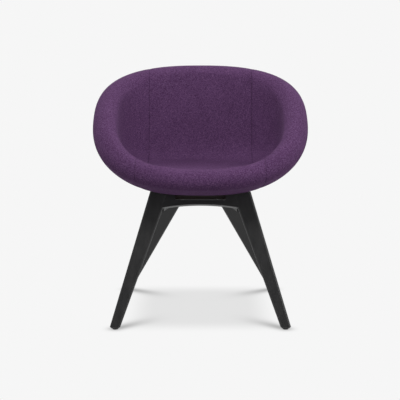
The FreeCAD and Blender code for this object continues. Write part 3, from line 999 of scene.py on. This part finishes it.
    def panel(self, tub: bpy.types.Object, side: Side, name: str) -> bpy.types.Object:
        """Cut one panel out of a copy of the padding and close it along its seams.

        Args:
            tub: The sewn padding.
            side: Which panel.
            name: Name of the new piece.

        Returns:
            The new piece.
        """
        piece = tub.copy()
        piece.data = tub.data.copy()
        piece.name = piece.data.name = name
        bpy.context.collection.objects.link(piece)
        self.straighten(piece)
        if side is Side.CENTRE:
            self.slit(piece, -1.0, keep=1)
            self.slit(piece, 1.0, keep=-1)
        else:
            self.slit(piece, float(side.value), keep=side.value)
        self.straighten(piece, back=True)
        work_on(piece)
        bpy.ops.object.shade_smooth_by_angle(angle=math.radians(self.smooth_angle))
        return piece

    def build(self, felt: bpy.types.Material) -> None:
        """Make the padding, sew it and hand over its three panels.

        Args:
            felt: Cloth of the cover.
        """
        tub = self.padding()
        self.swell(tub)
        self.refine(tub)
        self.sew(tub)
        stands_for = {Side.LEFT: ("left_pad", ("cover_left",)),
                      Side.CENTRE: ("centre_pad", ("cover_centre", "foam_body")),
                      Side.RIGHT: ("right_pad", ("cover_right",))}
        for side, (name, nodes) in stands_for.items():
            piece = self.panel(tub, side, name)
            dress(piece, felt)
            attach(piece, "root")
            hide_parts(*nodes)
            log.info("%s: %d faces", name, len(piece.data.polygons))
        bpy.data.objects.remove(tub, do_unlink=True)


@dataclass
class Lining:
    """Thin cloth that closes the tub underneath."""

    corner: float = 24.0 * MM
    corner_steps: int = 8
    hem: float = 9.0 * MM
    hem_step: float = 0.3 * MM
    clearance: float = 0.2 * MM
    thickness: float = 1.2 * MM

    def build(self, finish: bpy.types.Material) -> None:
        """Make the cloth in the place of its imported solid.

        Args:
            finish: Lining cloth.
        """
        low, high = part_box("underside_cloth")
        width, depth = high.x - low.x, high.y - low.y
        deselect()
        bpy.ops.mesh.primitive_plane_add(size=1.0, location=(0, 0, 0))
        cloth = bpy.context.object
        cloth.name = cloth.data.name = "base_lining"
        middle = (low + high) / 2
        bpy.ops.object.mode_set(mode="EDIT")
        bpy.ops.mesh.select_all(action="SELECT")
        bpy.ops.transform.resize(value=(width, depth, 1.0))
        bpy.ops.mesh.bevel(offset=self.corner, segments=self.corner_steps, affect="VERTICES")
        bpy.ops.mesh.select_all(action="SELECT")
        bpy.ops.mesh.inset(thickness=self.hem, depth=0.0)
        bpy.ops.mesh.inset(thickness=self.hem / 3, depth=self.hem_step)
        bpy.ops.mesh.select_all(action="SELECT")
        bpy.ops.transform.translate(value=(middle.x, middle.y, low.z + self.clearance))
        bpy.ops.object.mode_set(mode="OBJECT")
        solid = cloth.modifiers.new("thickness", "SOLIDIFY")
        solid.thickness = self.thickness
        solid.offset = 1.0
        apply_modifier(cloth, "thickness")
        dress(cloth, finish)
        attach(cloth, "root")
        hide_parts("underside_cloth")
        log.info("base_lining: %.0f by %.0f mm", width / MM, depth / MM)


@dataclass
class WoodenBase:
    """Legs, rails and panel of the base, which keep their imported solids."""

    nodes: dict[str, bpy.types.Object]
    upright: tuple[str, ...] = LEGS
    across: tuple[str, ...] = ("front_rail", "rear_rail")
    lengthwise: tuple[str, ...] = ("left_rail", "right_rail")

    def build(self) -> None:
        """Dress the wooden pieces."""
        for names, grain in ((self.upright, Grain.UPRIGHT), (self.across, Grain.ACROSS),
                             (self.lengthwise, Grain.LENGTHWISE)):
            finish = BlackStain(grain).make("black_stain_" + grain.name.lower())
            for name in names:
                dress(self.nodes[name], finish)
                log.info("%s: %s", name, finish.name)
        for name, finish in (("seat_panel", Plywood().make("stained_plywood")),
                             ("rail_dowels", Dowelling().make("beech_dowel"))):
            dress(self.nodes[name], finish)
            log.info("%s: %s", name, finish.name)


@dataclass
class Fixings:
    """Steel inside the tub, its fixings and the glides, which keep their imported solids."""

    nodes: dict[str, bpy.types.Object]
    painted: tuple[str, ...] = ("rim_hoop", "left_arm_rib", "right_arm_rib", "front_left_rib",
                                "front_right_rib", "back_left_rib", "back_right_rib",
                                "mounting_plate")
    plated: tuple[str, ...] = ("shell_nuts", "shell_bolts", "shell_washers", "panel_screws",
                               "glide_nails")
    moulded: tuple[str, ...] = ("foot_glides",)

    def build(self) -> None:
        """Dress the steel and plastic pieces."""
        for names, finish in ((self.painted, SatinPaint().make("black_paint")),
                              (self.plated, ZincPlate().make("zinc_plate")),
                              (self.moulded, MouldedPlastic().make("glide_plastic"))):
            for name in names:
                dress(self.nodes[name], finish)
                log.info("%s: %s", name, finish.name)


def seen_rays(tree: bpy.types.NodeTree) -> bpy.types.NodeSocket:
    """Factor that is 1 for what the camera sees, straight or in gloss and glass.

    Args:
        tree: Node tree to add the nodes to.

    Returns:
        Value socket.
    """
    path = tree.nodes.new("ShaderNodeLightPath")
    seen = path.outputs["Is Camera Ray"]
    for other in ("Is Glossy Ray", "Is Transmission Ray"):
        either = tree.nodes.new("ShaderNodeMath")
        either.operation = "MAXIMUM"
        tree.links.new(seen, either.inputs[0])
        tree.links.new(path.outputs[other], either.inputs[1])
        seen = either.outputs["Value"]
    return seen


@dataclass(frozen=True)
class StudioPaper(Finish):
    """White paper that looks evenly lit, with painted soft shadows such as a lamp high overhead would
    cast.

    The painted shadow patch below the tub is full and ends at the two distances given across and
    along. Each leg's painted shadow streak is set by where it stands and by the floor point below
    its upper end.
    """

    tone: float
    legs: tuple[tuple[Vector, Vector], ...]
    bounce: float = 0.36
    patch_across: Pair = (0.137, 0.243)
    patch_along: Pair = (0.166, 0.294)
    # Depths and sizes of the painted shadows: the patch below the tub and the streaks of the legs.
    painted_patch_depth: float = 0.167
    painted_streak_depth: float = 0.53
    streak_length: float = 0.105
    streak_width: float = 0.021
    streak_spread: float = 0.09

    def painted_tub_shadow(self, bench: NodeBench) -> bpy.types.NodeSocket:
        """Painted shadow of the tub: share of the paper's tone left where the tub would shade the
        floor.

        Args:
            bench: Workbench of the material.

        Returns:
            Value socket: 1 away from the tub, less underneath.
        """
        place = bench.axes(bench.place)
        across, along = (
            bench.spread(bench.maths("ABSOLUTE", place[axis]), 1.0, 0.0, ends, "SMOOTHSTEP")
            for axis, ends in (("X", self.patch_across), ("Y", self.patch_along)))
        dark = bench.maths("MULTIPLY", bench.maths("MULTIPLY", across, along), self.painted_patch_depth)
        return bench.maths("SUBTRACT", 1.0, dark)

    def painted_leg_shadow(self, bench: NodeBench, foot: Vector, top: Vector) -> bpy.types.NodeSocket:
        """Painted shadow streak of a leaning leg: share of the paper's tone left, least at its foot.

        Args:
            bench: Workbench of the material.
            foot: Where the leg stands.
            top: Floor point below its upper end.

        Returns:
            Value socket.
        """
        lean = top - foot
        along_leg = bench.add("ShaderNodeMapping", vector_type="TEXTURE")
        along_leg.inputs["Location"].default_value = foot
        along_leg.inputs["Rotation"].default_value = (0.0, 0.0, math.atan2(lean.y, lean.x))
        bench.join(bench.place, along_leg.inputs["Vector"])
        place = bench.axes(along_leg.outputs["Vector"])
        ahead = bench.maths("MAXIMUM", place["X"], 0.0)
        behind = bench.maths("MINIMUM", place["X"], 0.0)
        width = bench.maths("ADD", bench.maths("MULTIPLY", ahead, self.streak_spread),
                            self.streak_width)
        away = bench.add("ShaderNodeCombineXYZ")
        bench.join(bench.maths("DIVIDE", ahead, self.streak_length), away.inputs["X"])
        bench.join(bench.maths("DIVIDE", place["Y"], width), away.inputs["Y"])
        bench.join(bench.maths("DIVIDE", behind, self.streak_width), away.inputs["Z"])
        square = bench.add("ShaderNodeVectorMath", operation="DOT_PRODUCT")
        bench.join(away.outputs["Vector"], square.inputs[0])
        bench.join(away.outputs["Vector"], square.inputs[1])
        bell = bench.maths("EXPONENT", bench.maths("MULTIPLY", square.outputs["Value"], -1.0))
        return bench.maths("SUBTRACT", 1.0, bench.maths("MULTIPLY", bell, self.painted_streak_depth))

    def lay(self, bench: NodeBench) -> None:
        """Show even paper with painted shadows, and bounce a little light back at the chair.

        Args:
            bench: Workbench of the material.
        """
        bench.fix(Base_Color=(self.bounce,) * 3 + (1.0,), Roughness=1.0, Specular_IOR_Level=0.0)
        # Painted shadows: the tub's patch and each leg's streak darken the paper's emitted tone; no
        # lamp casts them.
        light = self.painted_tub_shadow(bench)
        for foot, top in self.legs:
            light = bench.maths("MULTIPLY", light, self.painted_leg_shadow(bench, foot, top))
        glow = bench.add("ShaderNodeEmission")
        bench.join(bench.maths("MULTIPLY", light, self.tone), glow.inputs["Strength"])
        split = bench.add("ShaderNodeMixShader")
        bench.join(seen_rays(bench.tree), split.inputs["Fac"])
        bench.join(bench.shader.outputs["BSDF"], split.inputs[1])
        bench.join(glow.outputs["Emission"], split.inputs[2])
        bench.join(split.outputs["Shader"], bench.output.inputs["Surface"])


@dataclass(frozen=True)
class Softbox:
    """Rectangular lamp that points at the chair, with its power in watts."""

    name: str
    place: Triple
    target: Triple
    size: Pair
    power: float

    def hang(self) -> None:
        """Put the lamp in its place."""
        data = bpy.data.lights.new(self.name, "AREA")
        data.shape = "RECTANGLE"
        data.size, data.size_y = self.size
        data.energy = self.power
        lamp = bpy.data.objects.new(self.name, data)
        bpy.context.collection.objects.link(lamp)
        lamp.location = self.place
        aim = Vector(self.target) - Vector(self.place)
        lamp.rotation_euler = aim.to_track_quat("-Z", "Y").to_euler()


@dataclass
class Studio:
    """Pale floor, soft light and the camera."""

    floor_span: float = 60.0
    floor_cuts: int = 7
    half_foot: float = 16.0 * MM
    paper: float = 0.922
    ceiling: float = 0.10
    ceiling_fade: Pair = (0.03, 0.30)
    world_light: float = 0.51
    softboxes: tuple[Softbox, ...] = (
        Softbox("top_softbox", (0.0, -1.2, 2.3), (0.0, 0.0, 0.45), (0.9, 0.7), 17.0),
        Softbox("rear_softbox", (0.0, 1.3, 2.2), (0.0, 0.0, 0.5), (1.2, 0.8), 9.5),
        Softbox("left_softbox", (-1.9, -1.2, 1.7), (0.0, 0.0, 0.5), (0.9, 1.3), 4.0),
        Softbox("right_softbox", (2.1, -0.6, 1.0), (0.0, 0.0, 0.5), (0.9, 1.0), 12.4))
    lens: float = 100.8
    sensor: float = 36.0
    clip_end: float = 200.0
    camera_place: Triple = (-0.0012, -3.358, 0.885)
    camera_dip: float = 9.33

    def leg_lean(self, name: str) -> tuple[Vector, Vector]:
        """Where a leg stands, and the floor point below its upper end.

        Args:
            name: Node of the leg.

        Returns:
            The two points of the floor.
        """
        low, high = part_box(name)
        ends = ((low.x, high.x), (low.y, high.y))
        outer = [max(pair, key=abs) for pair in ends]
        inner = [min(pair, key=abs) for pair in ends]
        foot = [value - math.copysign(self.half_foot, value) for value in outer]
        return Vector((*foot, 0.0)), Vector((*inner, 0.0))

    def floor(self) -> None:
        """Lay the wide paper floor, with painted shadows in its material."""
        deselect()
        bpy.ops.mesh.primitive_plane_add(size=self.floor_span, location=(0, 0, 0))
        floor = bpy.context.object
        floor.name = "studio_floor"
        bpy.ops.object.mode_set(mode="EDIT")
        bpy.ops.mesh.select_all(action="SELECT")
        bpy.ops.mesh.subdivide(number_cuts=self.floor_cuts)
        bpy.ops.object.mode_set(mode="OBJECT")
        legs = tuple(self.leg_lean(name) for name in LEGS)
        dress(floor, StudioPaper(self.paper, legs).make("studio_paper_painted_shadows"))

    def backdrop(self) -> None:
        """World that lights softly, looks like plain paper and darkens towards the ceiling."""
        world = bpy.data.worlds.new("studio_world")
        bpy.context.scene.world = world
        world.use_nodes = True
        tree = world.node_tree
        tree.nodes.clear()
        output = tree.nodes.new("ShaderNodeOutputWorld")
        mix = tree.nodes.new("ShaderNodeMixShader")
        soft = tree.nodes.new("ShaderNodeBackground")
        paper = tree.nodes.new("ShaderNodeBackground")
        for light in (soft, paper):
            light.inputs["Color"].default_value = (*WHITE, 1.0)
        soft.inputs["Strength"].default_value = self.world_light
        heading = tree.nodes.new("ShaderNodeTexCoord")
        parts = tree.nodes.new("ShaderNodeSeparateXYZ")
        fade = tree.nodes.new("ShaderNodeMapRange")
        fade.inputs["From Min"].default_value, fade.inputs["From Max"].default_value = self.ceiling_fade
        fade.inputs["To Min"].default_value = self.paper
        fade.inputs["To Max"].default_value = self.ceiling
        tree.links.new(heading.outputs["Generated"], parts.inputs["Vector"])
        tree.links.new(parts.outputs["Z"], fade.inputs["Value"])
        tree.links.new(fade.outputs["Result"], paper.inputs["Strength"])
        tree.links.new(seen_rays(tree), mix.inputs["Fac"])
        tree.links.new(soft.outputs["Background"], mix.inputs[1])
        tree.links.new(paper.outputs["Background"], mix.inputs[2])
        tree.links.new(mix.outputs["Shader"], output.inputs["Surface"])

    def camera(self) -> None:
        """Set the camera at the photograph's place and angle."""
        data = bpy.data.cameras.new("photo_camera")
        data.sensor_fit = "HORIZONTAL"
        data.sensor_width = self.sensor
        data.lens = self.lens
        data.clip_end = self.clip_end
        camera = bpy.data.objects.new("photo_camera", data)
        bpy.context.collection.objects.link(camera)
        camera.location = self.camera_place
        camera.rotation_euler = (math.radians(90 - self.camera_dip), 0.0, 0.0)
        bpy.context.scene.camera = camera

    def build(self) -> None:
        """Set up floor, light and camera."""
        bpy.context.scene.view_settings.view_transform = "Standard"
        self.floor()
        self.backdrop()
        for softbox in self.softboxes:
            softbox.hang()
        self.camera()
        log.info("studio set")


def main() -> None:
    """Build the chair and the studio."""
    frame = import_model()
    nodes = frame["nodes"]
    WoodenBase(nodes).build()
    Fixings(nodes).build()
    Upholstery().build(WoolFelt().make("purple_felt"))
    Lining().build(LiningCloth().make("black_lining"))
    Studio().build()
    deselect()


if __name__ == "__main__":
    main()
